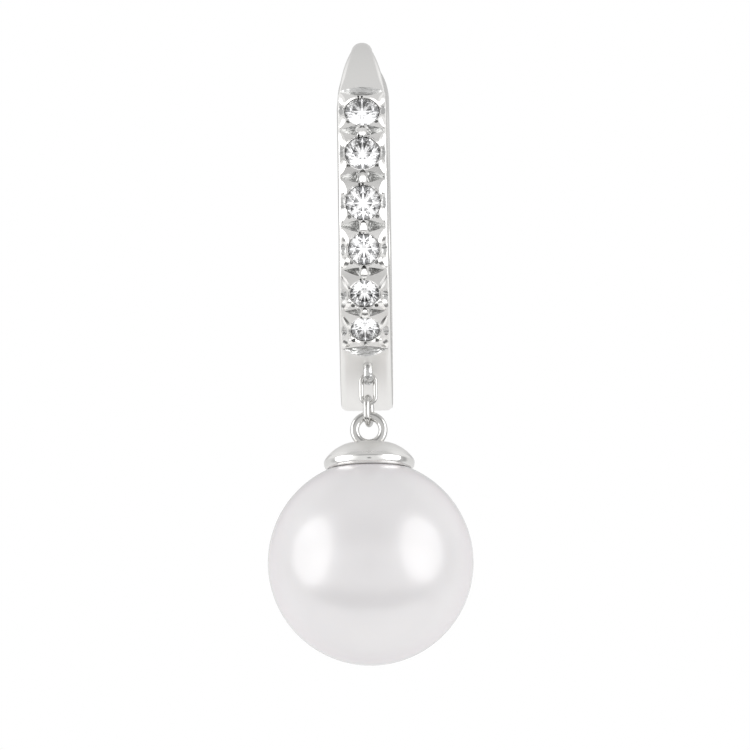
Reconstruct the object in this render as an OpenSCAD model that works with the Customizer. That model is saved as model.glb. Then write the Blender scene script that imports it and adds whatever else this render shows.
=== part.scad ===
// Huggie drop earring: a hinged hoop with a stone-set front, and a pearl hanging from two small links.
// X is the width of the band, -Y is the front and +Z is up. The origin is on the ear post at the hoop's top.
// Angles round the hoop are counted from the front: 0 is the front, 90 the top, 180 the back, -90 the bottom.

/* [Hoop] */
// Outer diameter of the hoop
hoop_d = 14.4; // [14:0.1:14.8]
// Width of the band, side to side
band_w = 2.02; // [1.98:0.01:2.1]
// Thickness of the band, inner face to outer face
band_t = 1.6; // [1.55:0.05:1.7]
// Radius of the band's four long edges
edge_r = 0.26; // [0.2:0.01:0.3]

/* [Tapered top and ear post] */
// Diameter of the ear post's wire
post_d = 0.8; // [0.76:0.01:0.82]
// Angle where the band ends and the bare post starts
post_start = 66.6; // [65:0.1:67]
// Angle where the post's free end lies
post_end = 123; // [121:1:124]
// Radius of the long arc that narrows the band towards the post
taper_arc = 36; // [34:1:38]

/* [Stone setting] */
// Depth of the girdles of the stones below the band's outer face
girdle_depth = 0.12; // [0.1:0.01:0.14]
// Depth of the V grooves cut across the band between the stones
groove_depth = 0.34; // [0.3:0.01:0.4]
// Half width of a V groove where it meets the outer face
groove_half = 0.25; // [0.2:0.01:0.28]
// Width of the bridge of metal left in the middle of a groove between two stones, at the outer face
bridge_w = 0.58; // [0.5:0.02:0.66]
// Radius of the round tips of the prongs
prong_r = 0.17; // [0.14:0.01:0.18]
// Radius of the holes drilled through the band behind the stones
azure_r = 0.3; // [0.25:0.01:0.34]

/* [Hinge] */
// Angle of the hinge pin
hinge_angle = -108; // [-110:1:-106]
// Diameter of the hinge pin
pin_d = 0.6; // [0.5:0.05:0.65]
// Width of the front limb's hinge tongue
tongue_w = 0.76; // [0.7:0.02:0.8]

/* [Back lever] */
// Radius of the arcs that round the free end of the lever
nose_arc = 2.9; // [2.7:0.1:3.1]
// Angle where the free end starts to narrow
nose_start = 125.9; // [125:0.1:127]
// Angle of the very end of the lever
nose_end = 112.6; // [112:0.1:114]
// Width of the fork that the post lies in
fork_w = 0.96; // [0.94:0.01:1]

/* [Links] */
// Outer diameter of the loop soldered to the band
loop_d = 1; // [0.96:0.01:1.04]
// Wire of the soldered loop
loop_wire = 0.29; // [0.27:0.01:0.3]
// Angle of the soldered loop
loop_angle = -60.1; // [-62:0.1:-59]
// Wire of the upper link
upper_wire = 0.19; // [0.17:0.01:0.2]
// Outer width of the upper link
upper_w = 0.74; // [0.72:0.01:0.78]
// Outer length of the upper link
upper_l = 1.334; // [1.3:0.002:1.4]
// Wire of the lower link
lower_wire = 0.28; // [0.24:0.01:0.29]
// Outer width of the lower link
lower_w = 1.04; // [1.02:0.01:1.1]
// Outer length of the lower link
lower_l = 1.35; // [1.3:0.01:1.5]
// Turn of the lower link about the vertical
lower_twist = 18; // [0:1:20]

/* [Pearl and cap] */
// Diameter of the pearl
pearl_d = 8; // [7.8:0.1:8.2]
// Outer diameter of the bail ring on the cap
ring_d = 1.46; // [1.44:0.01:1.5]
// Wire of the bail ring
ring_wire = 0.353; // [0.33:0.001:0.36]
// Height of the cap's top above the centre of the pearl
cap_top = 4.7; // [4.69:0.01:4.71]
// Diameter of the peg in the pearl
peg_d = 0.8; // [0.7:0.05:0.9]
// Length of the peg inside the pearl
peg_l = 3.2; // [2.5:0.1:4]

/* [Hidden] */
$fn = 96;

// Clearance between pieces that lie against each other
gap = 0.02;
// How far a cutter runs past what it cuts
over = 0.5;

outer_r = hoop_d / 2;
inner_r = outer_r - band_t;
half_w = band_w / 2;

// The post runs just inside the band's outer face
post_r = post_d / 2;
post_ring = outer_r - post_r - 0.01;
// The wire runs this many degrees into the taper
post_lap = 4;
// The blunt tip of the post, half of it past the wire's end, and its two radii as shares of the wire's
tip_l = 0.3;
tip_root = 0.99;
tip_end = 0.7;

// The taper's arcs are laid out on a flat at this angle; the second value is where each arc is widest
taper_flat = 48;
taper_widest = -4.6;
taper_wide = 1.072;
taper_from = 28;
taper_l = 0.7 * outer_r;
// The inner face of the taper is a larger circle moved towards the top
thin_shift = 1.333;
thin_angle = 80;
thin_r = 5.067;

// Columns: angle round the hoop, girdle diameter, one row for each stone from the top
STONES = [
    [29.7, 1.35],
    [14.4, 1.35],
    [-1.8, 1.35],
    [-16.4, 1.2],
    [-30.8, 1.1],
    [-43.5, 1.1],
];
girdle_r = outer_r - girdle_depth;
// Angles of the grooves: a whole one at each end of the row, split ones halfway between two stones
groove_top = 37.7;
groove_bottom = -51.4;
split_angles = [for (i = [0 : len(STONES) - 2]) (STONES[i][0] + STONES[i + 1][0]) / 2];
// A groove is cut by a wheel whose rim comes to an edge
wheel_r = 1.361;
wheel_half = groove_half * wheel_r / groove_depth;
// A bridge's foot is wider than its top by this much on each side, down at the groove's floor
bridge_foot = 0.16;

// Proportions of a round brilliant, as shares of its girdle radius
table_share = 0.56;
crown_tan = tan(34.5);
crown_share = (1 - table_share) * crown_tan;
star_share = (1 + table_share * cos(22.5)) / 2;
star_rise = (1 - star_share * cos(22.5)) * crown_tan;
pavilion_tan = tan(40.8);
lower_share = 0.23;
lower_fall = pavilion_tan * (1 - lower_share * cos(22.5));
girdle_share = 0.05;
// A stone's crown keeps inside this share of its radius at the height of the table
crown_room = 0.66;
// The drilled seat falls by this much for each millimetre inwards
seat_fall = 0.9;
// Where a prong's tip sits: its angle from across the band, how far past the girdle, how deep below the face
prong_angle = 34;
prong_past = 0.1;
prong_sink = 0.1;

hinge_r = outer_r - band_t / 2;
knuckle_r = band_t / 2;
knuckle_room = 0.06;
tongue_room = 0.04;
pin_room = 0.02;
// The tongue runs this many degrees into the front limb
tongue_lap = 10;
// The lever's inner face is a circle moved towards the back, so the lever thins upwards
lever_shift = 0.3;
lever_angle = 150;
fork_floor = 128.5;

// The soldered loop and all that hangs from it lie a little to the right of the band's middle
hang_x = 0.08;
loop_out = 0.12;
loop_ring = (loop_d - loop_wire) / 2;
hang_y = -(outer_r + loop_out) * cos(loop_angle);
loop_z = (outer_r + loop_out) * sin(loop_angle);
// Heights of the wire centres of each link, each resting in the one above
upper_top = loop_z - loop_ring + loop_wire / 2 + gap + upper_wire / 2;
upper_bottom = upper_top - upper_l + upper_wire;
lower_top = upper_bottom + upper_wire / 2 + gap + lower_wire / 2;
lower_bottom = lower_top - lower_l + lower_wire;
ring_c = (ring_d - ring_wire) / 2;
ring_z = lower_bottom + lower_wire / 2 + gap + ring_wire / 2 - ring_c;

pearl_r = pearl_d / 2;
// The ring is sunk into the cap's top by this much
ring_sink = 0.207;
pearl_z = ring_z - ring_d / 2 + ring_sink - cap_top;
// Columns: radius, height above the centre of the pearl, down the outside of the cap
CAP_PROFILE = [
    [0.76, 4.69],
    [1, 4.63],
    [1.26, 4.5],
    [1.49, 4.33],
    [1.66, 4.14],
    [1.74, 4.02],
    [1.765, 3.91],
    [1.75, 3.77],
    [1.71, 3.69],
];
// Inner radius of the cap's rim
cap_lip = 1.64;
// The peg runs this far up into the cap, and its hole in the pearl is wider and deeper than it
peg_root = 0.1;
drill_room = 0.03;
drill_extra = 0.3;

metal = "gainsboro";

// Turns a shape drawn flat, with the front along its X and the top along its Y, upright into the hoop's place
module hoop_plane() translate([0, 0, -(outer_r - post_r)]) rotate([90, 0, -90]) children();

// Places a shape at an angle round the hoop, its Z pointing straight out, its X along the width of the band
module at_angle(angle, radius) hoop_plane() rotate([0, 0, angle]) translate([radius, 0, 0]) rotate([0, 90, 0])
    children();

// A rectangle with round corners, for the band's section
module soft_rectangle(w, h, r) {
    square([w - 2 * r, h], center = true);
    square([w, h - 2 * r], center = true);
    for (x = [-1, 1], y = [-1, 1])
        translate([x * (w / 2 - r), y * (h / 2 - r)]) circle(r);
}

// A stretch of the full band between two angles
module band_arc(from, to) hoop_plane() rotate([0, 0, from]) rotate_extrude(angle = to - from, $fn = 192)
    translate([hinge_r, 0]) soft_rectangle(band_t, band_w, edge_r);

// A cylinder across the band on the hinge axis
module on_hinge(r, length) at_angle(hinge_angle, hinge_r) rotate([0, 90, 0])
    cylinder(r = r, h = length, center = true);

// What is cut away beside the tapered top, on both sides
module beside_taper() at_angle(taper_flat, inner_r - over) linear_extrude(band_t + 2 * over)
    for (side = [0, 1]) mirror([side, 0]) difference() {
        translate([post_r / 2, outer_r * sin(taper_from - taper_flat)]) square([band_w, taper_l]);
        translate([taper_wide - taper_arc, taper_widest]) circle(taper_arc, $fn = 256);
    }

// The circle that thins the inner face of the taper
module inside_taper() hoop_plane() rotate([0, 0, thin_angle]) translate([thin_shift, 0, 0])
    cylinder(r = thin_r, h = 2 * band_w, center = true, $fn = 192);

module ear_post() {
    hoop_plane() rotate([0, 0, post_start - post_lap])
        rotate_extrude(angle = post_end - post_start + post_lap, $fn = 192)
            translate([post_ring, 0]) circle(post_r, $fn = 48);
    hoop_plane() rotate([0, 0, post_end]) translate([post_ring, -tip_l / 2, 0]) rotate([-90, 0, 0])
        cylinder(h = tip_l, r1 = post_r * tip_root, r2 = post_r * tip_end, $fn = 48);
}

// The room that a stone needs: its girdle, crown and pavilion, each with the clearance round it
module stone_room(r) {
    top_r = r * crown_room + gap;
    half = r * girdle_share / 2;
    pavilion_h = r * pavilion_tan;
    translate([0, 0, half]) cylinder(h = r * crown_share, r1 = r + gap, r2 = top_r);
    translate([0, 0, half + r * crown_share]) cylinder(h = over, r = top_r);
    translate([0, 0, -half - gap]) cylinder(h = 2 * half + gap, r = r + gap);
    translate([0, 0, -half - gap - pavilion_h]) cylinder(h = pavilion_h, r1 = gap, r2 = r + gap);
}

// The drilled seat under a stone, open above the girdle, with the hole behind it
module seat(r) {
    cone_h = (r + gap - azure_r) * seat_fall;
    translate([0, 0, -r * girdle_share / 2 - gap]) {
        cylinder(h = over, r = r + gap);
        translate([0, 0, -cone_h]) cylinder(h = cone_h, r1 = azure_r, r2 = r + gap);
        translate([0, 0, -band_t - over]) cylinder(h = band_t + over, r = azure_r, $fn = 48);
    }
}

// Four round prong tips at the corners of a stone
module prongs(r) {
    reach = r + prong_past;
    difference() {
        for (x = [-1, 1], y = [-1, 1])
            translate([x * reach * cos(prong_angle), y * reach * sin(prong_angle), girdle_depth - prong_sink])
                sphere(prong_r, $fn = 32);
        stone_room(r);
    }
}

// The cutting wheel for a groove, standing across the band with its edge at the groove's floor
module wheel_cut(angle) at_angle(angle, outer_r - groove_depth + wheel_r) rotate([90, 0, 0])
    for (side = [0, 1]) mirror([0, 0, side]) cylinder(h = wheel_half, r1 = wheel_r, r2 = 0);

// The bridge that stays between two stones, level with the band's outer face and with sloping sides
module bridge(angle) at_angle(angle, outer_r) rotate([90, 0, 0])
    linear_extrude(2 * wheel_half + over, center = true) polygon([
        [-bridge_w / 2, over],
        [-bridge_w / 2, 0],
        [-bridge_w / 2 - bridge_foot, -groove_depth - gap],
        [bridge_w / 2 + bridge_foot, -groove_depth - gap],
        [bridge_w / 2, 0],
        [bridge_w / 2, over],
    ]);

// A groove in two halves, one on each side of its bridge
module split_groove(angle) difference() {
    wheel_cut(angle);
    bridge(angle);
}

// The front limb without its prongs, post and tongue
module front_band() difference() {
    band_arc(hinge_angle, post_start);
    beside_taper();
    inside_taper();
    for (s = STONES) at_angle(s[0], girdle_r) seat(s[1] / 2);
    for (a = [groove_top, groove_bottom]) wheel_cut(a);
    for (a = split_angles) split_groove(a);
    on_hinge(knuckle_r + knuckle_room, 2 * band_w);
}

// The tongue of the hinge, round about the pin
module tongue() difference() {
    union() {
        on_hinge(knuckle_r, tongue_w);
        intersection() {
            band_arc(hinge_angle, hinge_angle + tongue_lap);
            at_angle(hinge_angle, hinge_r) cube([tongue_w, 4 * band_t, 4 * band_t], center = true);
        }
    }
    on_hinge(pin_d / 2 + pin_room, band_w);
}

// A ring of round wire about the Z axis, or a part of one
module wire_ring(bend, wire, angle = 360) rotate_extrude(angle = angle, $fn = 64)
    translate([bend, 0]) circle(wire / 2, $fn = 32);

module soldered_loop() hoop_plane() translate([-hang_y, loop_z, -hang_x]) wire_ring(loop_ring, loop_wire);

module front_hoop() color(metal) {
    front_band();
    for (s = STONES) at_angle(s[0], girdle_r) prongs(s[1] / 2);
    tongue();
    ear_post();
    soldered_loop();
}

// What is cut away beside the lever's free end, on both sides
module beside_nose() at_angle(nose_start, inner_r - over) linear_extrude(band_t + 2 * over)
    for (side = [0, 1]) mirror([side, 0]) difference() {
        translate([post_r / 2, -band_t * 2]) square([band_w, band_t * 2]);
        translate([half_w - nose_arc, 0]) circle(nose_arc, $fn = 128);
    }

module back_lever() color(metal) difference() {
    union() {
        band_arc(nose_end, 360 + hinge_angle);
        on_hinge(knuckle_r, band_w - 2 * gap);
    }
    beside_nose();
    // the thinner inner face
    hoop_plane() rotate([0, 0, lever_angle]) translate([lever_shift, 0, 0])
        cylinder(r = inner_r, h = 2 * band_w, center = true, $fn = 192);
    // the fork for the post, with a round floor
    at_angle(fork_floor, inner_r - over) {
        translate([-fork_w / 2, -4 * band_t, 0]) cube([fork_w, 4 * band_t, band_t + 2 * over]);
        cylinder(r = fork_w / 2, h = band_t + 2 * over);
    }
    // room for the front limb's tongue, and the pin's hole
    on_hinge(knuckle_r + knuckle_room, tongue_w + 2 * tongue_room);
    on_hinge(pin_d / 2 + pin_room, 2 * band_w);
}

module hinge_pin() color(metal) on_hinge(pin_d / 2, band_w - 4 * gap);

// A round brilliant about its girdle's middle, table up, for a girdle of radius 1
function rim(z) = [for (k = [0 : 15]) [cos(22.5 * k), sin(22.5 * k), z]];
function ring_of_eight(r, z, turn) = [for (k = [0 : 7]) [r * cos(45 * k + turn), r * sin(45 * k + turn), z]];

module brilliant(r) {
    half = girdle_share / 2;
    // Points 0-7 table, 8-15 star points, 16-31 upper rim, 32-47 lower rim, 48-55 lower points, 56 culet
    points = concat(
        ring_of_eight(table_share, crown_share + half, 0),
        ring_of_eight(star_share, star_rise + half, 22.5),
        rim(half), rim(-half),
        ring_of_eight(lower_share, -lower_fall - half, 22.5),
        [[0, 0, -pavilion_tan - half]]);
    faces = concat(
        [[for (k = [7 : -1 : 0]) k]],
        [for (k = [0 : 7]) [k, (k + 1) % 8, 8 + k]],
        [for (k = [0 : 7]) [8 + k, 16 + 2 * k, 8 + (k + 7) % 8, k]],
        [for (k = [0 : 7]) [8 + k, 17 + 2 * k, 16 + 2 * k]],
        [for (k = [0 : 7]) [8 + k, 16 + (2 * k + 2) % 16, 17 + 2 * k]],
        [for (k = [0 : 15]) [16 + k, 16 + (k + 1) % 16, 32 + (k + 1) % 16, 32 + k]],
        [for (k = [0 : 7]) [32 + 2 * k, 33 + 2 * k, 48 + k]],
        [for (k = [0 : 7]) [33 + 2 * k, 32 + (2 * k + 2) % 16, 48 + k]],
        [for (k = [0 : 7]) [32 + 2 * k, 48 + k, 56, 48 + (k + 7) % 8]]);
    scale(r) polyhedron(points, faces);
}

module diamond(index) color("aliceblue") at_angle(STONES[index][0], girdle_r) brilliant(STONES[index][1] / 2);
module diamond_1() diamond(0);
module diamond_2() diamond(1);
module diamond_3() diamond(2);
module diamond_4() diamond(3);
module diamond_5() diamond(4);
module diamond_6() diamond(5);

// Places a shape on the line that the links and the pearl hang from, at a height given from the hoop's centre
module hanging(z) translate([hang_x, hang_y, z - (outer_r - post_r)]) children();

// A link of round wire standing upright in the XZ plane, its centre at the middle
module oval_link(w, l, wire) rotate([90, 0, 0]) {
    bend = (w - wire) / 2;
    straight = (l - w) / 2;
    for (end = [0, 180]) rotate(end) {
        translate([0, straight, 0]) wire_ring(bend, wire, 180);
        translate([bend, straight, 0]) rotate([90, 0, 0]) cylinder(r = wire / 2, h = 2 * straight, $fn = 32);
    }
}

module link_upper() color(metal) hanging((upper_top + upper_bottom) / 2)
    oval_link(upper_w, upper_l, upper_wire);

module link_lower() color(metal) hanging((lower_top + lower_bottom) / 2)
    rotate(90 - lower_twist) oval_link(lower_w, lower_l, lower_wire);

module pearl_cap() color(metal) {
    hanging(ring_z) rotate([90, 0, 0]) wire_ring(ring_c, ring_wire);
    hanging(pearl_z) {
        difference() {
            rotate_extrude() polygon(concat([[0, 0], [0, cap_top]], CAP_PROFILE,
                [[cap_lip, sqrt(pow(pearl_r + gap, 2) - pow(cap_lip, 2)) - gap], [cap_lip, 0]]));
            sphere(pearl_r + gap, $fn = 128);
        }
        translate([0, 0, pearl_r - peg_l]) cylinder(d = peg_d, h = peg_l + peg_root, $fn = 48);
    }
}

module pearl() color("white") hanging(pearl_z) difference() {
    sphere(pearl_r, $fn = 128);
    translate([0, 0, pearl_r - peg_l - drill_extra])
        cylinder(d = peg_d + 2 * drill_room, h = peg_l + drill_extra + over, $fn = 48);
}

front_hoop();
back_lever();
hinge_pin();
diamond_1();
diamond_2();
diamond_3();
diamond_4();
diamond_5();
diamond_6();
link_upper();
link_lower();
pearl_cap();
pearl();
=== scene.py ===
"""Looks of a huggie drop earring: polished white gold, brilliant-cut diamonds and a white pearl."""

import math

import bmesh
import bpy
from mathutils import Matrix, Quaternion, Vector


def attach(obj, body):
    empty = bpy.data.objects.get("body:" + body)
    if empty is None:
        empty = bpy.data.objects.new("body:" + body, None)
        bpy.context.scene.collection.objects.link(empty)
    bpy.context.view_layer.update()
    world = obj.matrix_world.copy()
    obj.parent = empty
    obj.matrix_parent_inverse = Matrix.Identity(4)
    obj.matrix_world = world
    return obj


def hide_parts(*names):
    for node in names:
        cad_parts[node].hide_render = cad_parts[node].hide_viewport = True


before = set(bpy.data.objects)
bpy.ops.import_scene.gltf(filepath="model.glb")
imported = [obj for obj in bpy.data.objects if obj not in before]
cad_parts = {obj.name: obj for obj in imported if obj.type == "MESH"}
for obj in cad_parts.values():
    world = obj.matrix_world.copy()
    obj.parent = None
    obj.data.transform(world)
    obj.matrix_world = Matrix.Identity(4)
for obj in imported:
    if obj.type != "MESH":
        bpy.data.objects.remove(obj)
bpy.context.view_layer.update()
scene = bpy.context.scene
MM = 0.001

# Camera. A long lens a metre away looks up at the hanging drop from 9 degrees below it and from a third of a
# degree to its right, and leans a little, as the photograph's does. It draws a millimetre 25.6 pixels long.
PICTURE_WIDTH, PIXELS_PER_MM = 750, 25.6
SENSOR, CAMERA_AWAY, CAMERA_LEAN = 36, 1000, -0.8
looked_at = Vector((0.33, 0, -12.676))
back = Vector((0.0052, -0.98765, -0.15643)).normalized()
camera_data = bpy.data.cameras.new("camera")
camera_data.sensor_width = SENSOR
camera_data.lens = SENSOR * PIXELS_PER_MM * CAMERA_AWAY / PICTURE_WIDTH
camera_data.clip_end = 20
camera = bpy.data.objects.new("camera", camera_data)
lean = Quaternion((0, 0, 1), math.radians(CAMERA_LEAN))
camera.rotation_mode = "QUATERNION"
camera.rotation_quaternion = (-back).to_track_quat("-Z", "Y") @ lean
camera.location = looked_at * MM + back * (CAMERA_AWAY * MM)
scene.collection.objects.link(camera)
scene.camera = camera


# Light and stage. A white studio round the hanging earring: a pale floor far below it, a tall softbox on each
# side, a fill from below, and a surround of cards whose levels change with height. The backdrop is white.
def node(tree, kind, values=None, links=None, stops=None, **settings):
    """Adds a node with its settings, its inputs' values and links, and a ramp's (position, colour) stops."""
    made = tree.nodes.new("ShaderNode" + kind)
    for key, value in settings.items():
        setattr(made, key, value)
    for key, value in (values or {}).items():
        made.inputs[key].default_value = value
    for key, source in (links or {}).items():
        tree.links.new(source, made.inputs[key])
    if stops:
        elements = made.color_ramp.elements
        while len(elements) < len(stops):
            elements.new(0.5)
        for element, (position, colour) in zip(elements, stops):
            element.position, element.color = position, colour
    return made


def linear(hex_colour):
    """An sRGB hex colour as linear light, opaque."""
    parts = [int(hex_colour[i : i + 2], 16) / 255 for i in (1, 3, 5)]
    return [c / 12.92 if c <= 0.04045 else ((c + 0.055) / 1.055) ** 2.4 for c in parts] + [1]


def bearing(azimuth, elevation):
    """The way from the earring to a light, in degrees round from the front to the right and up."""
    a, e = math.radians(azimuth), math.radians(elevation)
    return Vector((math.sin(a) * math.cos(e), -math.cos(a) * math.cos(e), math.sin(e)))


# The sockets of a Mix node that hold its two colours and its result.
COLOUR_A, COLOUR_B, COLOUR_OUT = 6, 7, 2
LEFT_BOX, RIGHT_BOX, BOX_RISE = -70, 61, 8

scene.view_settings.view_transform = "Standard"
world = bpy.data.worlds.new("studio")
scene.world = world
world.use_nodes = True
air = world.node_tree
air.nodes.clear()
way = node(air, "TexCoord").outputs["Generated"]
axes = node(air, "SeparateXYZ", links={"Vector": way})

# Levels of the surround by elevation in degrees, first in front of the earring and then behind it. In front
# the cards' edges run straight across, so that the pearl mirrors them as a smile. The dark gap between the
# cards under the camera gives the pearl its lower shade and the settings their dark flanks.
narrow = node(air, "VectorMath", {1: (0.35, 1, 1)}, {0: way}, operation="MULTIPLY")
straight = node(air, "VectorMath", links={0: narrow.outputs["Vector"]}, operation="NORMALIZE")
card_axes = node(air, "SeparateXYZ", links={"Vector": straight.outputs["Vector"]})
halves = []
for height, levels in (
    (card_axes.outputs["Z"], (
        (-90, 1.25), (-66, 1.2), (-62, 0.04), (-46, 0.04), (-38, 0.84), (12, 0.84), (17, 0.42), (40, 0.5),
        (56, 0.68), (90, 0.67),
    )),
    (axes.outputs["Z"], (
        (-90, 1.0), (-70, 0.98), (-48, 0.88), (-10, 0.82), (12, 0.77), (20, 0.62), (30, 0.58), (60, 0.64),
        (90, 0.67),
    )),
):
    rise = node(air, "MapRange", {"From Min": -1, "From Max": 1}, {"Value": height}).outputs["Result"]
    stops = [((math.sin(math.radians(up)) + 1) / 2, (level, level, level, 1)) for up, level in levels]
    halves.append(node(air, "ValToRGB", links={"Fac": rise}, stops=stops).outputs["Color"])
side = node(air, "MapRange", {"From Min": -0.25, "From Max": 0.25}, {"Value": axes.outputs["Y"]})
surround = node(
    air, "Mix", links={0: side.outputs["Result"], COLOUR_A: halves[0], COLOUR_B: halves[1]}, data_type="RGBA",
).outputs[COLOUR_OUT]

# Soft glows on the surround: the softboxes' halos, and one high up behind the earring on each side.
glow = None
for azimuth, elevation, low, high, gain in (
    (LEFT_BOX, BOX_RISE, 0.68, 0.94, 0.5), (RIGHT_BOX, BOX_RISE, 0.7, 0.94, 0.45),
    (-126, 40, 0.86, 0.97, 0.3), (126, 40, 0.86, 0.97, 0.3),
):
    aim = bearing(azimuth, elevation)
    near = node(air, "VectorMath", {1: aim}, {0: way}, operation="DOT_PRODUCT").outputs["Value"]
    soft = node(
        air, "MapRange", {"From Min": low, "From Max": high, "To Max": gain}, {"Value": near},
        interpolation_type="SMOOTHSTEP",
    ).outputs["Result"]
    if glow is not None:
        soft = node(air, "Math", links={0: glow, 1: soft}, operation="ADD").outputs["Value"]
    glow = soft
bright = node(
    air, "Mix", {0: 1.0}, {COLOUR_A: surround, COLOUR_B: glow}, data_type="RGBA", blend_type="ADD",
).outputs[COLOUR_OUT]

# The camera shows on the surround as a small dark spot, and a dark flag hangs straight out on each side.
towards = node(air, "VectorMath", {1: back}, {0: way}, operation="DOT_PRODUCT").outputs["Value"]
lens_spot = node(
    air, "MapRange", {"From Min": 0.993, "From Max": 0.9985, "To Min": 1, "To Max": 0.3}, {"Value": towards}
).outputs["Result"]
sideways = node(air, "Math", links={0: axes.outputs["X"]}, operation="ABSOLUTE").outputs["Value"]
flags = node(
    air, "MapRange", {"From Min": 0.88, "From Max": 0.995, "To Min": 1, "To Max": 0.5}, {"Value": sideways},
    interpolation_type="SMOOTHSTEP",
).outputs["Result"]
level = node(air, "Math", links={0: lens_spot, 1: flags}, operation="MULTIPLY").outputs["Value"]
lit = node(air, "Background", links={"Color": bright, "Strength": level}).outputs[0]
white = node(air, "Background", {"Color": (1, 1, 1, 1)}).outputs[0]
seen = node(air, "LightPath").outputs["Is Camera Ray"]
either = node(air, "MixShader", links={0: seen, 1: lit, 2: white}).outputs[0]
node(air, "OutputWorld", links={"Surface": either})

# The tall softboxes, 0.6 m from the earring.
BOX_LEVEL, BOX_AWAY, BOX_AIM = 1.6, 0.6, Vector((0, 0, -0.012))
for name, azimuth in (("softbox_left", LEFT_BOX), ("softbox_right", RIGHT_BOX)):
    facing = bearing(azimuth, BOX_RISE)
    box_data = bpy.data.lights.new(name, "AREA")
    box_data.shape = "ELLIPSE"
    box_data.size, box_data.size_y = 0.6, 0.74
    box_data.energy = BOX_LEVEL * math.pi * box_data.size * box_data.size_y * math.pi / 4
    box = bpy.data.objects.new(name, box_data)
    box.location = BOX_AIM + facing * BOX_AWAY
    box.rotation_mode = "QUATERNION"
    box.rotation_quaternion = (-facing).to_track_quat("-Z", "Y")
    box.visible_camera = False
    scene.collection.objects.link(box)

# A wide round fill under the earring. It lights the pearl's foot and stays out of the metal's mirrors.
FILL_LEVEL, FILL_R = 1.55, 0.45
fill_data = bpy.data.lights.new("fill_from_below", "AREA")
fill_data.shape = "DISK"
fill_data.size = 2 * FILL_R
fill_data.energy = FILL_LEVEL * math.pi * math.pi * FILL_R**2
fill = bpy.data.objects.new("fill_from_below", fill_data)
fill.location = (0, -0.12, -1.15)
fill.rotation_mode = "QUATERNION"
fill.rotation_quaternion = (-fill.location).to_track_quat("-Z", "Y")
fill.visible_camera = False
fill.visible_glossy = False
scene.collection.objects.link(fill)

# The floor: matt white card, which the eye sees as an even pale ground. A little light of its own makes up
# for the light of a whole room.
FLOOR_R, FLOOR_Z = 0.87, -1.6
card = bpy.data.materials.new("pale_floor_card")
card.use_nodes = True
for key, value in (
    ("Base Color", linear("#fdfcfb")), ("Roughness", 0.9), ("Emission Color", (1, 1, 1, 1)),
    ("Emission Strength", 0.28),
):
    card.node_tree.nodes["Principled BSDF"].inputs[key].default_value = value
floor_mesh = bpy.data.meshes.new("floor")
around = [2 * math.pi * k / 64 for k in range(64)]
rim = [(FLOOR_R * math.cos(t), FLOOR_R * math.sin(t), FLOOR_Z) for t in around]
floor_mesh.from_pydata(rim, [], [range(64)])
floor_mesh.materials.append(card)
floor = bpy.data.objects.new("floor", floor_mesh)
scene.collection.objects.link(floor)


# Pearl. A round white drop of nacre 8 mm across, half drilled from the top for the cap's peg. It is softly
# glossy, with a milky depth and a faint rose and green play of colour towards its edges.
def lathe(rows, around=96, closed=False):
    """Vertices and faces of a surface turned about Z from (radius, height) rows, listed along its outline."""
    vertices, faces, rings = [], [], []
    for radius, height in rows:
        start = len(vertices)
        if radius < 1e-6:
            vertices.append(Vector((0, 0, height)))
            rings.append([start] * around)
            continue
        for k in range(around):
            t = 2 * math.pi * k / around
            vertices.append(Vector((radius * math.cos(t), radius * math.sin(t), height)))
        rings.append(list(range(start, start + around)))
    for low, high in zip(rings, rings[1:] + rings[:1] * closed):
        for k in range(around):
            corners = [low[k], low[(k + 1) % around], high[(k + 1) % around], high[k]]
            face = list(dict.fromkeys(corners))
            if len(face) > 2:
                faces.append(face)
    return vertices, faces


def moved(solid, matrix):
    """The same surface, moved by a matrix."""
    return ([matrix @ Vector(v) for v in solid[0]], *solid[1:])


def marked(solid, number):
    """The surface with every face in the material of that number."""
    return solid[0], solid[1], [number] * len(solid[1])


def marks(solid):
    """The number of the material on each face of a surface, 0 where it was never marked."""
    return solid[2] if len(solid) > 2 else [0] * len(solid[1])


def joined(*solids):
    """Several surfaces as one."""
    vertices, faces, numbers = [], [], []
    for solid in solids:
        start = len(vertices)
        vertices += list(solid[0])
        faces += [[start + i for i in face] for face in solid[1]]
        numbers += marks(solid)
    return vertices, faces, numbers


def mesh_of(name, solid, scale, materials):
    """A surface as a mesh with its materials, every face turned outwards."""
    mesh = bpy.data.meshes.new(name)
    mesh.from_pydata([Vector(v) * scale for v in solid[0]], [], solid[1])
    for material in materials:
        mesh.materials.append(material)
    mesh.polygons.foreach_set("material_index", marks(solid))
    work = bmesh.new()
    work.from_mesh(mesh)
    bmesh.ops.recalc_face_normals(work, faces=work.faces)
    work.to_mesh(mesh)
    work.free()
    return mesh


def piece(name, solid, materials, body, nodes, sharp=40):
    """A surface in millimetres as a piece on a body, smooth but for edges over that angle."""
    mesh = mesh_of(name, solid, MM, materials)
    mesh.polygons.foreach_set("use_smooth", [True] * len(mesh.polygons))
    mesh.set_sharp_from_angle(angle=math.radians(sharp))
    made = bpy.data.objects.new(name, mesh)
    scene.collection.objects.link(made)
    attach(made, body)
    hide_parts(*nodes)


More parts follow.
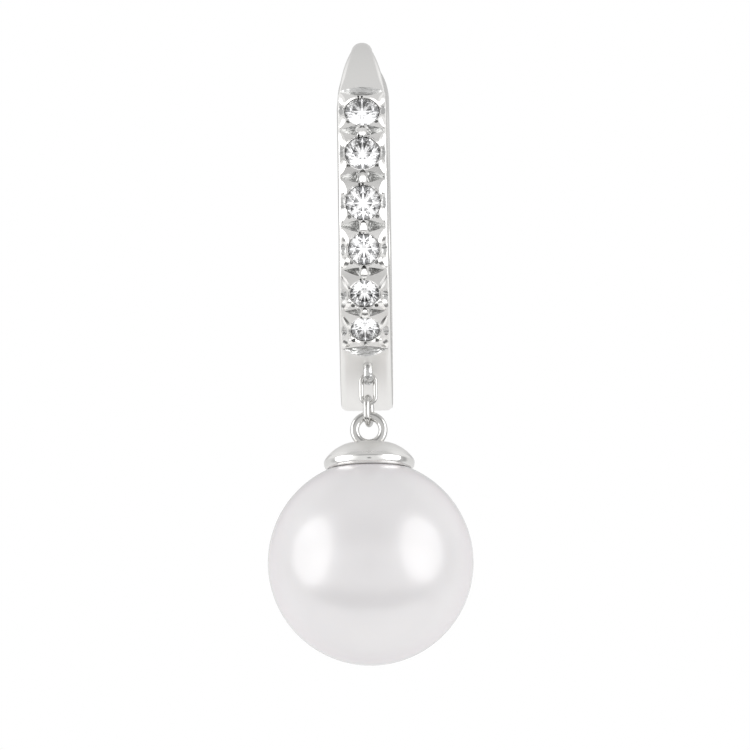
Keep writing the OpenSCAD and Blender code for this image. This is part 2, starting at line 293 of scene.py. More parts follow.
# Nacre is grown in thin layers and left smooth: the eye sees a soft gloss over a milky depth. Its clouds are
# 4.5 mm wide. The layers' own edges are far too fine to show and are drawn as a skin of 0.38 mm.
CLOUD, SKIN, SKIN_RELIEF = 4.545, 0.3846, 0.004
nacre = bpy.data.materials.new("lustrous_nacre")
nacre.use_nodes = True
tree = nacre.node_tree
shell = tree.nodes["Principled BSDF"]
place = node(tree, "TexCoord").outputs["Object"]
clouds = node(tree, "TexNoise", {"Scale": 1 / (CLOUD * MM), "Detail": 3, "Roughness": 0.5}, {"Vector": place})
skin = node(tree, "TexNoise", {"Scale": 1 / (SKIN * MM), "Detail": 2, "Roughness": 0.6}, {"Vector": place})
cream = node(
    tree, "ValToRGB", links={"Fac": clouds.outputs["Fac"]},
    stops=[(0.3, linear("#d6d4d5")), (0.75, linear("#dbd9da"))],
)
grazing = node(tree, "LayerWeight", {"Blend": 0.35}).outputs["Facing"]
overtone = node(tree, "ValToRGB", links={"Fac": grazing}, stops=[
    (0.35, linear("#ffffff")), (0.62, linear("#fdf9fb")), (0.85, linear("#f8fbf9")), (1.0, linear("#f9f9fc")),
])
tinted = node(
    tree, "Mix", {0: 1.0}, {COLOUR_A: cream.outputs["Color"], COLOUR_B: overtone.outputs["Color"]},
    data_type="RGBA", blend_type="MULTIPLY",
)
relief = node(tree, "Bump", {"Strength": 0.3, "Distance": SKIN_RELIEF * MM}, {"Height": skin.outputs["Fac"]})
tree.links.new(tinted.outputs[COLOUR_OUT], shell.inputs["Base Color"])
tree.links.new(relief.outputs["Normal"], shell.inputs["Normal"])
for key, value in (
    ("Roughness", 0.42), ("Specular IOR Level", 0.5), ("Coat Weight", 1.0), ("Coat Roughness", 0.22),
    ("Coat IOR", 1.9), ("Subsurface Weight", 0.25), ("Subsurface Scale", 0.6 * MM),
    ("Subsurface Radius", (1.0, 0.9, 0.8)),
):
    shell.inputs[key].default_value = value

# The pearl hangs under the soldered loop. Its drill hole stops half a millimetre above its middle.
HANG_X, HANG_Y, PEARL_Z = 0.08, -3.6489, -20.640
PEARL_R, DRILL_R, DRILL_FLOOR = 4.0, 0.43, 0.5
drill_angle = math.asin(DRILL_R / PEARL_R)
turns = [math.pi - (math.pi - drill_angle) * k / 72 for k in range(73)]
outline = [(PEARL_R * math.sin(t), PEARL_R * math.cos(t)) for t in turns]
outline += [(DRILL_R, DRILL_FLOOR), (0, DRILL_FLOOR)]
pearl = moved(lathe(outline, 144), Matrix.Translation((HANG_X, HANG_Y, PEARL_Z)))
piece("pearl_nacre", pearl, [nacre], "drop", ["pearl"])


# Pearl cap. A domed cup of white gold with a rolled rim, whose peg is glued into the pearl, and a round bail
# ring soldered upright on its top. The rim is a mirror, and the slope above it is left softer.

# Polished white gold under rhodium: the eye sees a nearly neutral mirror. Its tone drifts over 2 mm, and its
# hairlines, a few hundredths of a millimetre wide, are too fine to show and are drawn 0.29 mm wide.
TONE, WEAR = 2, 0.2857


def white_gold(name, roughness, dark="#e9e8e6", light="#efeeec", swell=0.0012, hairline=0.0001, wave=1.111,
               stretch=1.0, painted_side_shade=None, satin=None):
    """The earring's metal, as one of its finishes. Swell and hairline are the depths of its two reliefs, wave
    is the swell's size, and stretch says how much longer it is across the band. The side shade is the darker
    tone painted as shade on faces turned to the sides. Satin is (height where it begins, height where it is
    full, its roughness)."""
    material = bpy.data.materials.new(name)
    material.use_nodes = True
    tree = material.node_tree
    metal = tree.nodes["Principled BSDF"]
    metal.inputs["Metallic"].default_value = 1
    coords = node(tree, "TexCoord")
    place = coords.outputs["Object"]
    tone = node(tree, "TexNoise", {"Scale": 1 / (TONE * MM), "Detail": 2}, {"Vector": place}).outputs["Fac"]
    shade = node(tree, "ValToRGB", links={"Fac": tone}, stops=[(0, linear(dark)), (1, linear(light))])
    colour = shade.outputs["Color"]
    # Faces turned to the sides are painted a darker tone, a painted shade that keeps them grey in side light.
    if painted_side_shade:
        across = node(tree, "SeparateXYZ", links={"Vector": coords.outputs["Normal"]}).outputs["X"]
        aside = node(tree, "Math", links={0: across}, operation="ABSOLUTE").outputs["Value"]
        side_shade_mask = node(
            tree, "MapRange", {"From Min": 0.82, "From Max": 0.99}, {"Value": aside},
            interpolation_type="SMOOTHSTEP",
        ).outputs["Result"]
        colour = node(
            tree, "Mix", {COLOUR_B: linear(painted_side_shade)}, {0: side_shade_mask, COLOUR_A: colour}, data_type="RGBA",
        ).outputs[COLOUR_OUT]
    wear = node(
        tree, "TexNoise", {"Scale": 1 / (WEAR * MM), "Detail": 4, "Roughness": 0.65}, {"Vector": place}
    ).outputs["Fac"]
    if satin:
        begins, full, satin_roughness = satin
        height = node(tree, "SeparateXYZ", links={"Vector": place}).outputs["Z"]
        gloss = node(tree, "MapRange", {
            "From Min": begins * MM, "From Max": full * MM, "To Min": roughness, "To Max": satin_roughness,
        }, {"Value": height})
    else:
        gloss = node(tree, "MapRange", {
            "From Min": 0.3, "From Max": 0.7, "To Min": roughness * 0.94, "To Max": roughness * 1.08,
        }, {"Value": wear})
    drawn = node(tree, "Mapping", {"Scale": (1 / stretch, 1, 1)}, {"Vector": place}).outputs["Vector"]
    waves = node(tree, "TexNoise", {"Scale": 1 / (wave * MM), "Detail": 1}, {"Vector": drawn}).outputs["Fac"]
    soft = node(tree, "Bump", {"Distance": swell * MM}, {"Height": waves}).outputs["Normal"]
    fine = node(tree, "Bump", {"Distance": hairline * MM}, {"Height": wear, "Normal": soft}).outputs["Normal"]
    tree.links.new(colour, metal.inputs["Base Color"])
    tree.links.new(gloss.outputs["Result"], metal.inputs["Roughness"])
    tree.links.new(fine, metal.inputs["Normal"])
    return material


def wire_ring(bend, radius, steps=96, around=28, flat=1.0):
    """A closed ring of round wire about Z; flat under 1 squares the wire a little."""
    rows = []
    for k in range(around):
        c, s = math.cos(2 * math.pi * k / around), math.sin(2 * math.pi * k / around)
        c, s = math.copysign(abs(c) ** flat, c), math.copysign(abs(s) ** flat, s)
        rows.append((bend + radius * c, radius * s))
    return lathe(rows, steps, True)


def smooth_rows(rows, steps=5):
    """More rows on a smooth curve through the given ones."""
    found = []
    for i in range(len(rows) - 1):
        p0, p1, p2 = rows[max(i - 1, 0)], rows[i], rows[i + 1]
        p3 = rows[min(i + 2, len(rows) - 1)]
        for k in range(steps):
            t = k / steps
            found.append(tuple(
                b + 0.5 * t * (c - a + t * (2 * a - 5 * b + 4 * c - d + t * (3 * b - a - 3 * c + d)))
                for a, b, c, d in zip(p0, p1, p2, p3)
            ))
    return found + [rows[-1]]


# The cap is a mirror at its rim and soft from just above it. The bail ring is as bright a mirror, but painted
# a little greyer as shade.
RIM_TOP, SLOPE_START = PEARL_Z + 4.08, PEARL_Z + 4.2
bail_gold_painted_shade = white_gold("polished_white_gold_bail_painted_shade", 0.12, "#cbcac8", "#d4d3d1")
cap_gold = white_gold("polished_white_gold_cap", 0.1, satin=(RIM_TOP, SLOPE_START, 0.42))

# The peg, the cup's opening and its gap to the pearl; the bail ring's height, bend and wire. The dome's rows
# are (radius, height over the pearl's middle) from the top to the rolled rim.
PEG_R, PEG_FOOT, CUP_R, GLUE = 0.4, 0.8, 1.64, 0.02
BAIL_Z, BAIL_BEND, BAIL_WIRE_R = -15.4167, 0.5535, 0.1765
dome = smooth_rows([
    (0.0, 4.70), (0.4, 4.70), (0.76, 4.69), (1.0, 4.63), (1.26, 4.50), (1.49, 4.33), (1.66, 4.15),
    (1.745, 4.03), (1.765, 3.94), (1.745, 3.80), (1.69, 3.70),
])
cup = [(r, math.sqrt((PEARL_R + GLUE) ** 2 - r**2)) for r in [CUP_R * k / 16 for k in range(5, 17)]]
cap_rows = [(0, PEG_FOOT), (PEG_R, PEG_FOOT), (PEG_R, 3.99)] + cup + [(1.65, 3.672)] + list(reversed(dome))
cap = moved(lathe(cap_rows, 128), Matrix.Translation((HANG_X, HANG_Y, PEARL_Z)))
upright = Matrix.Rotation(math.radians(90), 4, "X")
bail = wire_ring(BAIL_BEND, BAIL_WIRE_R, flat=0.8)
bail = moved(bail, Matrix.Translation((HANG_X, HANG_Y, BAIL_Z)) @ upright)
solder = lathe([(math.sin(math.pi * k / 24), -math.cos(math.pi * k / 24)) for k in range(25)], 48)
solder_place = Matrix.Translation((HANG_X, HANG_Y, PEARL_Z + 4.66)) @ Matrix.Diagonal((0.66, 0.4, 0.12, 1))
solder = moved(solder, solder_place)
cap = joined(marked(cap, 1), bail, marked(solder, 1))
piece("pearl_cap_gold", cap, [bail_gold_painted_shade, cap_gold], "drop", ["pearl_cap"])


# Links. Two small oval links of round wire, closed with hard solder: the upper one hangs in the soldered loop
# and faces the front, the lower one hangs in it nearly edge on and holds the bail ring. Both are worn thinner
# at their ends.
def wire(path, radius, thickness, around=20):
    """A closed link of round wire along a path in one plane, with a factor on its radius at each point."""
    vertices, faces = [], []
    count, normal = len(path), None
    for i, point in enumerate(path):
        along = (path[(i + 1) % count] - path[i - 1]).normalized()
        if normal is None:
            normal = along.orthogonal().normalized()
        normal = (normal - along * normal.dot(along)).normalized()
        other = along.cross(normal)
        for k in range(around):
            t = 2 * math.pi * k / around
            vertices.append(point + radius * thickness[i] * (math.cos(t) * normal + math.sin(t) * other))
    for i in range(count):
        j = (i + 1) % count
        for k in range(around):
            n = (k + 1) % around
            faces.append([i * around + k, i * around + n, j * around + n, j * around + k])
    return vertices, faces


def oval(width, length, radius, worn, steps=20):
    """A link of round wire standing in the XZ plane, its middle at the origin, thinner at its worn ends."""
    bend, straight = width / 2 - radius, (length - width) / 2
    path, thickness = [], []
    for end in (0, 1):
        for k in range(steps + 1):
            t = math.pi * (k / steps + end)
            path.append(Vector((bend * math.cos(t), 0, bend * math.sin(t) + (straight, -straight)[end])))
            thickness.append(1 - worn * abs(math.sin(t)))
        for k in range(1, 4):
            drop = straight * (1 - k / 2)
            path.append(Vector((-bend, 0, drop) if end == 0 else (bend, 0, -drop)))
            thickness.append(1)
    return wire(path, radius, thickness)


# Drawn wire, tumbled after soldering: a soft gleam, painted a little greyer than the polished cap as shade.
fine_wire_painted_shade = white_gold("drawn_white_gold_wire_painted_shade", 0.2, "#c8c7c5", "#d2d1cf", 0.0006)

# Each link's width, length, wire radius and wear, the centre lines of its two ends, and its turn.
for name, body, (width, length, wire_r, worn), (top, bottom), turn in (
    ("link_upper", "front", (0.74, 1.334, 0.095, 0.2), (-13.241, -14.385), 0),
    ("link_lower", "lower_link", (1.04, 1.35, 0.14, 0.23), (-14.130, -15.200), 78),
):
    link_place = Matrix.Translation((HANG_X, HANG_Y, (top + bottom) / 2))
    link = moved(oval(width, length, wire_r, worn), link_place @ Matrix.Rotation(math.radians(turn), 4, "Z"))
    piece(name + "_wire", link, [fine_wire_painted_shade], body, [name])


# Front hoop. The cast front limb of the hoop: a soft-edged band with six drilled seats, V grooves cut across
# it between the stones, leaf-shaped prongs, a top that tapers into the round ear post, a hinge tongue and a
# soldered loop.

# Angles run round the hoop in degrees: 0 faces the front, 90 is the top, 180 the back and -90 the foot. First
# the hoop's middle, radii and half width, and what it narrows by over the upper stones.
HOOP_Z, OUTER_R, INNER_R, HALF_W = -6.8, 7.2, 5.6, 1.01
NARROWER, NARROWS = 0.035, (-35, -10)
# The rounding of the band's edges, and how much crisper they are across, from below to above the stones.
EDGE, CRISPER, CRISP_FROM, CRISP_TO = 0.26, 0.15, (-56, -50), (38, 46)
# The ear post: its wire's radius, the bend it follows, its end and how far the tip runs on. Then where the
# band turns round and runs out into it, and how far its outside is let in there.
POST_R, POST_BEND, POST_END, POST_TIP = 0.4, 6.79, 123, 0.15
ROUNDS, RUNS_OUT, LET_IN = (64, 86), (70, 84), 0.01
# The taper in front view: one long arc on each side, by its start, radius, half width and height, and how
# softly it ends.
TAPER_START, TAPER_R, TAPER_W, TAPER_Y, TAPER_MIDDLE, TAPER_END = 27.7, 36, 1.072, 4.6, 48, 0.08
# The inside of the thin top: an arc off the hoop's middle towards an angle, which eases into the post.
THIN_SHIFT, THIN_R, THIN_MIDDLE, TOP, TOP_END = 1.333, 5.067, 80, 56.0, 74
# The hinge: its place, the room for the lever's knuckles, the pin's hole and the tongue.
HINGE, HINGE_R, KNUCKLE_R, PIN_HOLE_R, TONGUE_R, TONGUE_HALF = -108.0, 6.4, 0.86, 0.32, 0.8, 0.38


def hoop_place(angle, radius):
    """The place at an angle round the hoop: Z points straight out, X across the band, Y along it."""
    a = math.radians(angle)
    out, up = Vector((0, -math.cos(a), math.sin(a))), Vector((0, math.sin(a), math.cos(a)))
    turn = Matrix((Vector((1, 0, 0)), up, out)).transposed().to_4x4()
    return Matrix.Translation(Vector((0, 0, HOOP_Z)) + out * radius) @ turn


def section(half_width, inner, outer, corner, side=None, count=140):
    """Even (across, radius) points round a rectangle with round corners, oval ones if a side is given."""
    half_h, middle = (outer - inner) / 2, (outer + inner) / 2
    side = min(side or corner, half_width)
    corner = min(corner, half_h)
    dense = []
    for sx, sy, first in ((1, 1, 0), (-1, 1, 90), (-1, -1, 180), (1, -1, 270)):
        for k in range(13):
            t = math.radians(first + 90 * k / 12)
            dense.append((
                sx * (half_width - side) + side * math.cos(t), sy * (half_h - corner) + corner * math.sin(t)
            ))
    dense.append(dense[0])
    lengths = [0.0]
    for a, b in zip(dense, dense[1:]):
        lengths.append(lengths[-1] + math.dist(a, b))
    points, j = [], 0
    for k in range(count):
        want = lengths[-1] * k / count
        while lengths[j + 1] < want:
            j += 1
        t = (want - lengths[j]) / max(lengths[j + 1] - lengths[j], 1e-9)
        across, rise = [dense[j][i] * (1 - t) + dense[j + 1][i] * t for i in (0, 1)]
        points.append((across, middle + rise))
    return points


def swept(stations):
    """A closed limb through sections, each (angle, points) with points as (across, radius)."""
    vertices, faces = [], []
    count = len(stations[0][1])
    for angle, points in stations:
        a = math.radians(angle)
        for across, radius in points:
            vertices.append(Vector((across, -radius * math.cos(a), HOOP_Z + radius * math.sin(a))))
    for i in range(len(stations) - 1):
        for k in range(count):
            n = (k + 1) % count
            faces.append([i * count + k, i * count + n, (i + 1) * count + n, (i + 1) * count + k])
    last = (len(stations) - 1) * count
    faces += [list(range(count)), list(range(last, last + count))]
    return vertices, faces


def prism(outline, ends, stand):
    """A block between two ends of one outline; stand gives a corner from its two measures and its end."""
    count = len(outline)
    vertices = [Vector(stand(a, b, end)) for end in ends for a, b in outline]
    faces = [list(range(count)), list(range(count, 2 * count))]
    faces += [[k, (k + 1) % count, count + (k + 1) % count, count + k] for k in range(count)]
    return vertices, faces


def carve(solid, tool, operation="DIFFERENCE"):
    """The first surface after an exact boolean with the second; each keeps its marks on what it leaves."""
    drafts = []
    for part in (solid, tool):
        draft = bpy.data.objects.new("draft", mesh_of("draft", part, 1, [None] * 3))
        scene.collection.objects.link(draft)
        drafts.append(draft)
    cut = drafts[0].modifiers.new("cut", "BOOLEAN")
    cut.object, cut.operation, cut.solver, cut.material_mode = drafts[1], operation, "EXACT", "INDEX"
    seen_by = drafts[0].evaluated_get(bpy.context.evaluated_depsgraph_get())
    result = seen_by.to_mesh()
    vertices = [v.co.copy() for v in result.vertices]
    faces, numbers = [], []
    for polygon in result.polygons:
        faces.append(list(polygon.vertices))
        numbers.append(polygon.material_index)
    seen_by.to_mesh_clear()
    for draft in drafts:
        old = draft.data
        bpy.data.objects.remove(draft)
        bpy.data.meshes.remove(old)
    return vertices, faces, numbers


def ease(low, high, value):
    """0 below low, 1 above high and smooth between."""
    t = min(max((value - low) / (high - low), 0), 1)
    return t * t * (3 - 2 * t)


def front_half(angle):
    """Half the width of the front limb at an angle: two long arcs narrow it and run out into the post."""
    plain = HALF_W - NARROWER * ease(*NARROWS, angle)
    if angle < TAPER_START:
        return plain
    y = OUTER_R * math.sin(math.radians(min(angle, 90) - TAPER_MIDDLE))
    over = min(plain, TAPER_W - TAPER_R + math.sqrt(TAPER_R**2 - (y + TAPER_Y) ** 2)) - POST_R
    return POST_R + (over + math.sqrt(over**2 + TAPER_END**2)) / 2 * (1 - ease(*RUNS_OUT, angle))


def front_station(angle):
    """The section of the front limb at an angle: thinner towards the top and crisper by the stones."""
    t = ease(TOP, TOP_END, angle)
    shift = math.radians(angle - THIN_MIDDLE)
    inner = THIN_SHIFT * math.cos(shift) + math.sqrt(THIN_R**2 - (THIN_SHIFT * math.sin(shift)) ** 2)
    inner = max(INNER_R, inner) * (1 - t) + (POST_BEND - POST_R) * t
    rounder = (POST_R - EDGE) * ease(*ROUNDS, angle)
    side = EDGE - CRISPER * ease(*CRISP_FROM, angle) * (1 - ease(*CRISP_TO, angle)) + rounder
    return angle, section(front_half(angle), inner, OUTER_R - LET_IN * t, EDGE + rounder, side)


# The limb from the hinge to the top, then the post with its rounded tip.
stations = [front_station(HINGE + (TOP - HINGE) * k / 220) for k in range(221)]
stations += [front_station(TOP + (POST_END - TOP) * k / 80) for k in range(1, 81)]
for t in (0.25, 0.5, 0.75, 0.9, 1.0):
    r = POST_R * (1 - 0.3 * t * t)
    tip = section(r, POST_BEND - r, POST_BEND + r, r)
    stations.append((POST_END + math.degrees(POST_TIP * t / POST_BEND), tip))
front = swept(stations)

# The stones' angles round the hoop and radii, from the top down, and the grooves between and beside them. All
# girdles lie on one radius of the hoop, and half a girdle's thickness is a share of its stone's radius.
STONES = [(29.7, 0.675), (14.4, 0.675), (-1.8, 0.675), (-16.4, 0.6), (-30.8, 0.55), (-43.5, 0.55)]
GIRDLE_R, GIRDLE_HALF, SEAT_PLAY = 7.08, 0.025, 0.015
grooves = [37.7] + [(a[0] + b[0]) / 2 for a, b in zip(STONES, STONES[1:])] + [-51.4]

# The grooves are cut with a V wheel. The two lowest split ones and the last have a flat top and a long lower
# side, and the last is the deepest. A bridge of metal stays in the middle of each groove between two stones.
bridge = [(-0.17, 0.5), (-0.17, 0.0), (-0.48, -0.36), (0.48, -0.36), (0.17, 0.0), (0.17, 0.5)]
bridge = prism(bridge, (-1.2, 1.2), lambda x, z, y: (x, y, z))
wheels = []
for index, angle in enumerate(grooves):
    wheel_r, depth, upper_side, lower_side, slid = 1.361, 0.34, 1.0, 1.0, 0
    if index > 3:
        wheel_r, depth, upper_side, lower_side, slid = 1.03, 0.37, 0.3, 0.76, 0.1
    if index > 5:
        depth, lower_side = 0.5, 0.85
    wheel = lathe([(0, upper_side), (wheel_r, 0), (0, -lower_side)], 160)
    lie = Matrix.Translation((0, slid, 0)) @ Matrix.Rotation(math.radians(-90), 4, "X")
    wheel = moved(wheel, hoop_place(angle, OUTER_R - depth + wheel_r) @ lie)
    if 0 < index < len(grooves) - 1:
        wheel = carve(wheel, moved(bridge, hoop_place(angle, OUTER_R)))
    # The cut faces take the darker grey, a painted shade in the grooves.
    wheels.append(marked(wheel, 1))
front = carve(front, joined(*wheels))

# The seats: a burnished opening with a ledge under each girdle, a cone under that and a hole to the inside.
HOLE_R, HOLE_FLOOR = 0.3, -2.1
seats = []
for angle, r in STONES:
    ledge, ledge_z = r + SEAT_PLAY, -r * GIRDLE_HALF - 0.02
    cone_z = ledge_z - (ledge - HOLE_R) * 0.9
    rows = [(0, 0.6), (r + 0.12, 0.6), (r + 0.1, 0.13), (ledge, 0.035), (ledge, ledge_z), (HOLE_R, cone_z)]
    rows += [(HOLE_R, HOLE_FLOOR), (0, HOLE_FLOOR)]
    seats.append(moved(lathe(rows, 64), hoop_place(angle, GIRDLE_R)))
front = carve(front, marked(joined(*seats), 2))

# The cutter's marks round each stone: a shallow dish at each side, a drill prick under each lower prong, two
# fine ticks at twelve o'clock, and a five-cornered notch under the stone. Their hollows are painted a darker
# grey as shade.
dish = lathe([(0, -0.05), (0.1, -0.04), (0.17, 0.0), (0.19, 0.1), (0, 0.1)], 32)
dish = moved(dish, Matrix.Diagonal((0.8, 1.5, 1, 1)))
prick = lathe([(0, -0.28), (0.06, -0.2), (0.085, 0.1), (0, 0.1)], 20)
tick = lathe([(0, -0.4), (0.03, -0.3), (0.045, 0.1), (0, 0.1)], 16)
tick = moved(tick, Matrix.Diagonal((0.9, 1.5, 1, 1)))
notch_rim = [(-0.05, 0.0), (0.05, 0.0), (0.24, 0.34), (0.0, 0.26), (-0.24, 0.34)]
notch_faces = [[0, 1, 2, 3, 4]] + [[k, (k + 1) % 5, 5] for k in range(5)]
pits = []
for angle, r in STONES:
    on_band = hoop_place(angle, OUTER_R)
    for sx in (-1, 1):
        pits.append(moved(dish, on_band @ Matrix.Translation((0.82 * sx, 0, 0.01))))
        corner = Matrix.Translation((sx * (r + 0.1) * 0.70, -(r + 0.1) * 0.714, 0))
        pits.append(moved(prick, on_band @ corner))
    for x, y in ((0.0, 0.06), (-0.14, 0.05)):
        pits.append(moved(tick, on_band @ Matrix.Translation((x, r + y, 0))))
    notch = [Vector((x, -r + 0.05 - y, 0.1)) for x, y in notch_rim] + [Vector((0.0, -r + 0.05 - 0.12, -0.22))]
    pits.append(moved((notch, notch_faces), on_band))
front = carve(front, marked(joined(*pits), 1))


def drum(radius, half_length, around=96):
    """A round block along Z."""
    return lathe([(0, -half_length), (radius, -half_length), (radius, half_length), (0, half_length)], around)


# The hinge end: room for the lever's knuckles, and the tongue between them with its hole for the pin.
THROUGH = 2
across = Matrix.Rotation(math.radians(90), 4, "Y")
hinge_place = hoop_place(HINGE, HINGE_R) @ across
front = carve(front, moved(drum(KNUCKLE_R, THROUGH), hinge_place))
hinge_a = math.radians(HINGE)
hinge_at = (HINGE_R * math.cos(hinge_a), HINGE_R * math.sin(hinge_a))
tongue = []
for k in range(25):
    t = math.radians(HINGE - 180 * k / 24)
    tongue.append((hinge_at[0] + TONGUE_R * math.cos(t), hinge_at[1] + TONGUE_R * math.sin(t)))
for radius, steps in ((INNER_R, range(1, 13)), (OUTER_R, range(12, 0, -1))):
    for k in steps:
        a = math.radians(HINGE + k)
        tongue.append((radius * math.cos(a), radius * math.sin(a)))
tongue = prism(tongue, (-TONGUE_HALF, TONGUE_HALF), lambda forward, up, x: (x, -forward, HOOP_Z + up))
pin_hole = moved(drum(PIN_HOLE_R, THROUGH, 48), hinge_place)
tongue = carve(tongue, pin_hole)


def leaf(length, width, height, steps=16):
    """A pointed sliver of metal lying along X with two sloping flanks and a soft ridge, closed below."""
    vertices, faces = [], []
    profile = [(-1, -0.3), (-1, 0), (-0.18, 0.86), (0, 1), (0.18, 0.86), (1, 0), (1, -0.3)]
    count = len(profile)
    for k in range(steps + 1):
        t = -1 + 2 * (k + 0.02) / (steps + 0.04)
        swell = (1 - t * t) ** 0.6 * (1 - 0.25 * t)
        vertices += [Vector((t * length / 2, y * width / 2 * swell, z * height * swell)) for y, z in profile]
    for k in range(steps):
        for i in range(count):
            n = (i + 1) % count
            faces.append([k * count + i, k * count + n, (k + 1) * count + n, (k + 1) * count + i])
    faces += [list(range(count)), list(range(steps * count, (steps + 1) * count))]
    return marked((vertices, faces), 2)


# The prongs: slivers raised from the band at each stone's four corners, from beside its rim out to the band's
# edge, wider below the three small stones and flatter above the last two. One more lies on each bridge.
prongs = []
for (angle, r), above, below in zip(STONES, grooves, grooves[1:]):
    for toward, groove in ((1, above), (-1, below)):
        half_gap = abs(groove - angle) * math.pi / 180 * OUTER_R
        for s in (-1, 1):
            beside, edge_x, reach, stop, width, height = 0.03, 0.87, 0.74, 0.1, 0.24, 0.08
            if r < 0.65 and toward < 0:
                beside, edge_x, reach, stop, width = 0.06, 0.86, 0.62, 0.16, 0.34
            elif r < 0.6:
                width, height = 0.2, 0.04
            start = Vector((s * (r + beside), toward * (half_gap - reach), 0))
            end = Vector((s * edge_x, toward * (half_gap - stop), 0))
            lean = math.atan2(end.y - start.y, end.x - start.x)
            spot = (start + end) / 2
            lift = Matrix.Translation((spot.x, spot.y, -0.01)) @ Matrix.Rotation(lean, 4, "Z")
            prong = leaf((end - start).length, width, height)
            prongs.append(moved(prong, hoop_place(angle, OUTER_R) @ lift))
for angle in grooves[1:-1]:
    lift = Matrix.Translation((0, -0.05, -0.015)) @ Matrix.Rotation(math.radians(90), 4, "Z")
    prongs.append(moved(leaf(0.4, 0.3, 0.07), hoop_place(angle, OUTER_R) @ lift))

# The loop of wire that the upper link hangs in, soldered under the band, painted the grooves' darker grey as
# shade.
LOOP_Z, LOOP_BEND, LOOP_WIRE_R = -13.1457, 0.355, 0.145
loop_place = Matrix.Translation((HANG_X, HANG_Y, LOOP_Z)) @ across @ Matrix.Diagonal((1, 1, 1.25, 1))
loop = marked(moved(wire_ring(LOOP_BEND, LOOP_WIRE_R, 72, 24), loop_place), 1)
front = joined(front, tongue, loop, *prongs)

# The band is softly polished: a broad gleam on its face, a darker painted shade on its flanks, and a satin
# finish from the fifth stone down. The grooves keep the cast metal, matt, with the wheel's marks across them,
# which are finer than a hundredth of a millimetre and are drawn 0.11 mm wide to show, and are painted a
# darker grey as shade. The prongs are burnished and shine softly.
SATIN_START, SATIN_FULL = -9.5, -10.2
front_gold_and_side_shade = white_gold(
    "soft_polished_white_gold_front_and_side_shade", 0.27, "#f7f6f4", "#fbfaf8", 0.0006, painted_side_shade="#bbbab8",
    satin=(SATIN_START, SATIN_FULL, 0.5),
)
# The grooves' cast metal: a satin finish, painted a darker grey as shade in the grooves, the cutter's pits
# and the loop.
recess_painted_shade = white_gold(
    "satin_cast_white_gold_painted_shade", 0.25, "#cbcbca", "#d7d7d6", 0.04, 0.001, wave=0.1111, stretch=3.5,
)
burnished = white_gold("burnished_white_gold_prongs", 0.22, "#f2f1ef", "#f6f5f3")
piece("front_hoop_gold", front, [front_gold_and_side_shade, recess_painted_shade, burnished], "front", ["front_hoop"], 30)

# Back lever. The hinged back limb: a thinner curved bar, cast and softly polished. Its free end rounds in to
# a fork that the post's tip lies in, and its lower end has two lugs round the hinge pin.

# Its two ends, how much thinner it is behind the ear and where, and the arcs that round its free end in.
LEVER_END, LEVER_FOOT, LEVER_THIN, THIN_BEHIND, ROUND_END, ROUND_R = 112.6, 252, 0.3, 150, 125.9, 5.2
# The fork's place, its half width and the length of its slot, and half the gap between the lugs.
FORK_ANGLE, FORK_R, FORK_LONG, LUG_GAP = 128.5, 0.48, 6.4, 0.42


def lever_station(angle):
    """The section of the back limb at an angle: a little thinner behind the ear, rounded in at its end."""
    shift = math.radians(angle - THIN_BEHIND)
    inner = LEVER_THIN * math.cos(shift) + math.sqrt(INNER_R**2 - (LEVER_THIN * math.sin(shift)) ** 2)
    y = min(OUTER_R * math.sin(math.radians(angle - ROUND_END)), 0) if angle < 180 else 0
    half = HALF_W - ROUND_R + math.sqrt(ROUND_R**2 - y * y)
    return angle, section(half, max(INNER_R, inner), OUTER_R, 0.22, 0.1)


lever = swept([lever_station(LEVER_END + (LEVER_FOOT - LEVER_END) * k / 186) for k in range(187)])
fork = [(FORK_R * math.cos(math.pi * k / 24), FORK_R * math.sin(math.pi * k / 24)) for k in range(25)]
fork = prism(fork + [(-FORK_R, -FORK_LONG), (FORK_R, -FORK_LONG)], (-0.5, 2.6), lambda x, y, z: (x, y, z))
lever = carve(lever, moved(fork, hoop_place(FORK_ANGLE, INNER_R)))
lug_edge = [(0, 0.99), (0.74, 0.99), (0.78, 0.975), (0.8, 0.93)]
lugs = lathe([(r, -x) for r, x in lug_edge] + lug_edge[::-1], 96)
lever = carve(lever, moved(lugs, hinge_place), "UNION")
lever = carve(lever, moved(drum(KNUCKLE_R, LUG_GAP), hinge_place))
lever = carve(lever, pin_hole)

# The same soft polish as the band's: a broad, quiet gleam on the outside and a darker painted shade on the
# flanks.
soft_polish_and_side_shade = white_gold("soft_polished_white_gold_band_and_side_shade", 0.27, swell=0.0006, painted_side_shade="#cdccca")
piece("back_lever_gold", lever, [soft_polish_and_side_shade], "back", ["back_lever"], 30)

# Hinge pin. A plain round pin of drawn white gold wire through the tongue and the two lugs. Its ends are
# filed to a slight dome and polished with the lugs, in the same soft finish.
pin_edge = [(0, 0.97), (0.2, 0.965), (0.27, 0.95), (0.3, 0.92)]
pin = moved(lathe([(r, -x) for r, x in pin_edge] + pin_edge[::-1], 48), hinge_place)
piece("hinge_pin_gold", pin, [soft_polish_and_side_shade], "front", ["hinge_pin"])

# Diamonds. Six graduated round brilliants of 57 facets, each with its table, crown, thin girdle and pavilion,
# set table outwards on the ledges of their seats and held by the prongs. They are cut, polished and clear.

# Diamond takes a perfect polish and bends light strongly: the eye sees sharp glints on the crown's facets.
diamond = bpy.data.materials.new("polished_diamond")
diamond.use_nodes = True
gem = diamond.node_tree.nodes["Principled BSDF"]
for key, value in (
    ("Roughness", 0.0), ("IOR", 2.417), ("Transmission Weight", 1.0), ("Base Color", (1, 1, 1, 1)),
):
    gem.inputs[key].default_value = value
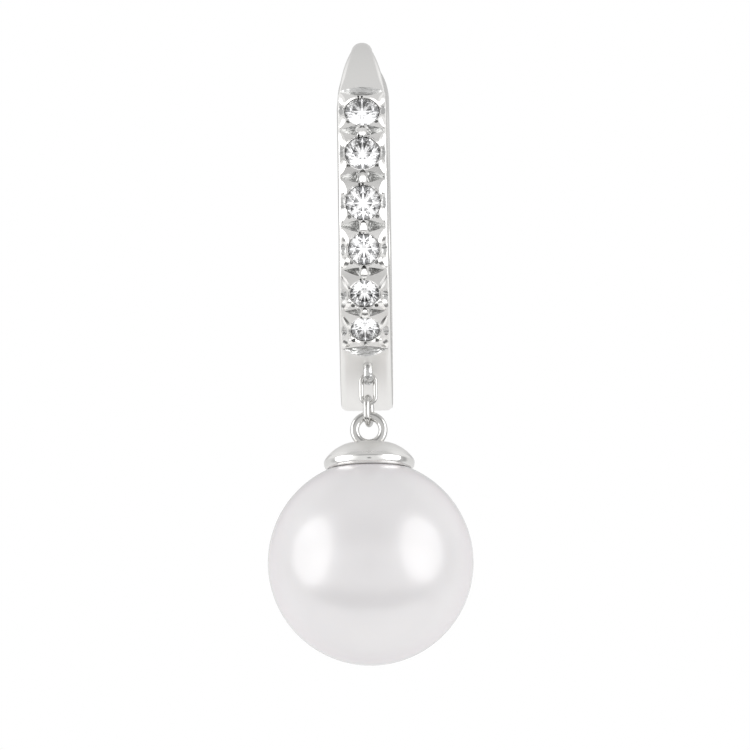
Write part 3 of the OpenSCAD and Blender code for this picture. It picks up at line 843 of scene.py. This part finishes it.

# Light that enters the table comes back from the pavilion as from mirrors, and the eye sees a bright star in
# a darker mosaic. So the facets below the girdle are drawn as mirrors with painted light: the mains glow as a
# painted star, the girdle and lower ones glow faintly, and every other lower facet is a dark painted shade.
facets = [diamond]
for name, tone, painted_glow in (
    ("polished_diamond_lower_facets_faint_painted_glow", "#ececec", 0.04), ("polished_diamond_pavilion_mains_painted_glow", "#f0f0f1", 0.42),
    ("polished_diamond_painted_shade_facets", "#7a7b7d", 0.0),
):
    facet = bpy.data.materials.new(name)
    facet.use_nodes = True
    mirror = facet.node_tree.nodes["Principled BSDF"]
    for key, value in (
        ("Metallic", 1), ("Roughness", 0.0), ("Base Color", linear(tone)), ("Emission Color", (1, 1, 1, 1)),
        ("Emission Strength", painted_glow),
    ):
        mirror.inputs[key].default_value = value
    facets.append(facet)


def girdle_ring(radius, height, count, turn=0.0):
    """Corners evenly round a stone at a height, all as shares of its radius."""
    angles = [2 * math.pi * k / count + turn for k in range(count)]
    return [Vector((radius * math.cos(a), radius * math.sin(a), height)) for a in angles]


def brilliant(r):
    """A round brilliant about its girdle's middle, table up, with the number of each facet's material."""
    table, star, lower, half = 0.56, 0.7587, 0.23, GIRDLE_HALF
    crown, pavilion = math.tan(math.radians(34.5)), math.tan(math.radians(40.8))
    eighth = math.pi / 8
    corners = girdle_ring(table, (1 - table) * crown + half, 8)
    corners += girdle_ring(star, (1 - star * math.cos(eighth)) * crown + half, 8, eighth)
    corners += girdle_ring(1, half, 16) + girdle_ring(1, -half, 16)
    corners += girdle_ring(lower, -pavilion * (1 - lower * math.cos(eighth)) - half, 8, eighth)
    corners.append(Vector((0, 0, -pavilion - half)))
    faces, numbers = [list(range(8))], [0]
    for k in range(8):
        n, p = (k + 1) % 8, (k + 7) % 8
        faces.append([k, n, 8 + k])
        faces.append([8 + k, 16 + 2 * k, 8 + p, k])
        faces.append([8 + k, 17 + 2 * k, 16 + 2 * k])
        faces.append([8 + k, 16 + (2 * k + 2) % 16, 17 + 2 * k])
        faces.append([32 + 2 * k, 33 + 2 * k, 48 + k])
        faces.append([33 + 2 * k, 32 + (2 * k + 2) % 16, 48 + k])
        faces.append([32 + 2 * k, 48 + k, 56, 48 + p])
        # Material 2 is the mains' painted glow; materials 3 and 1 take turns on the lower facets, painted
        # shade and faint glow.
        numbers += [0, 0, 0, 0, (3, 1)[k % 2], (1, 3)[k % 2], 2]
    for k in range(16):
        n = (k + 1) % 16
        faces.append([16 + k, 16 + n, 32 + n, 32 + k])
        numbers.append(1)
    return [corner * r for corner in corners], faces, numbers


for index, (angle, r) in enumerate(STONES, 1):
    stone = moved(brilliant(r), hoop_place(angle, GIRDLE_R))
    piece(f"diamond_{index}_cut", stone, facets, "front", [f"diamond_{index}"], 1)
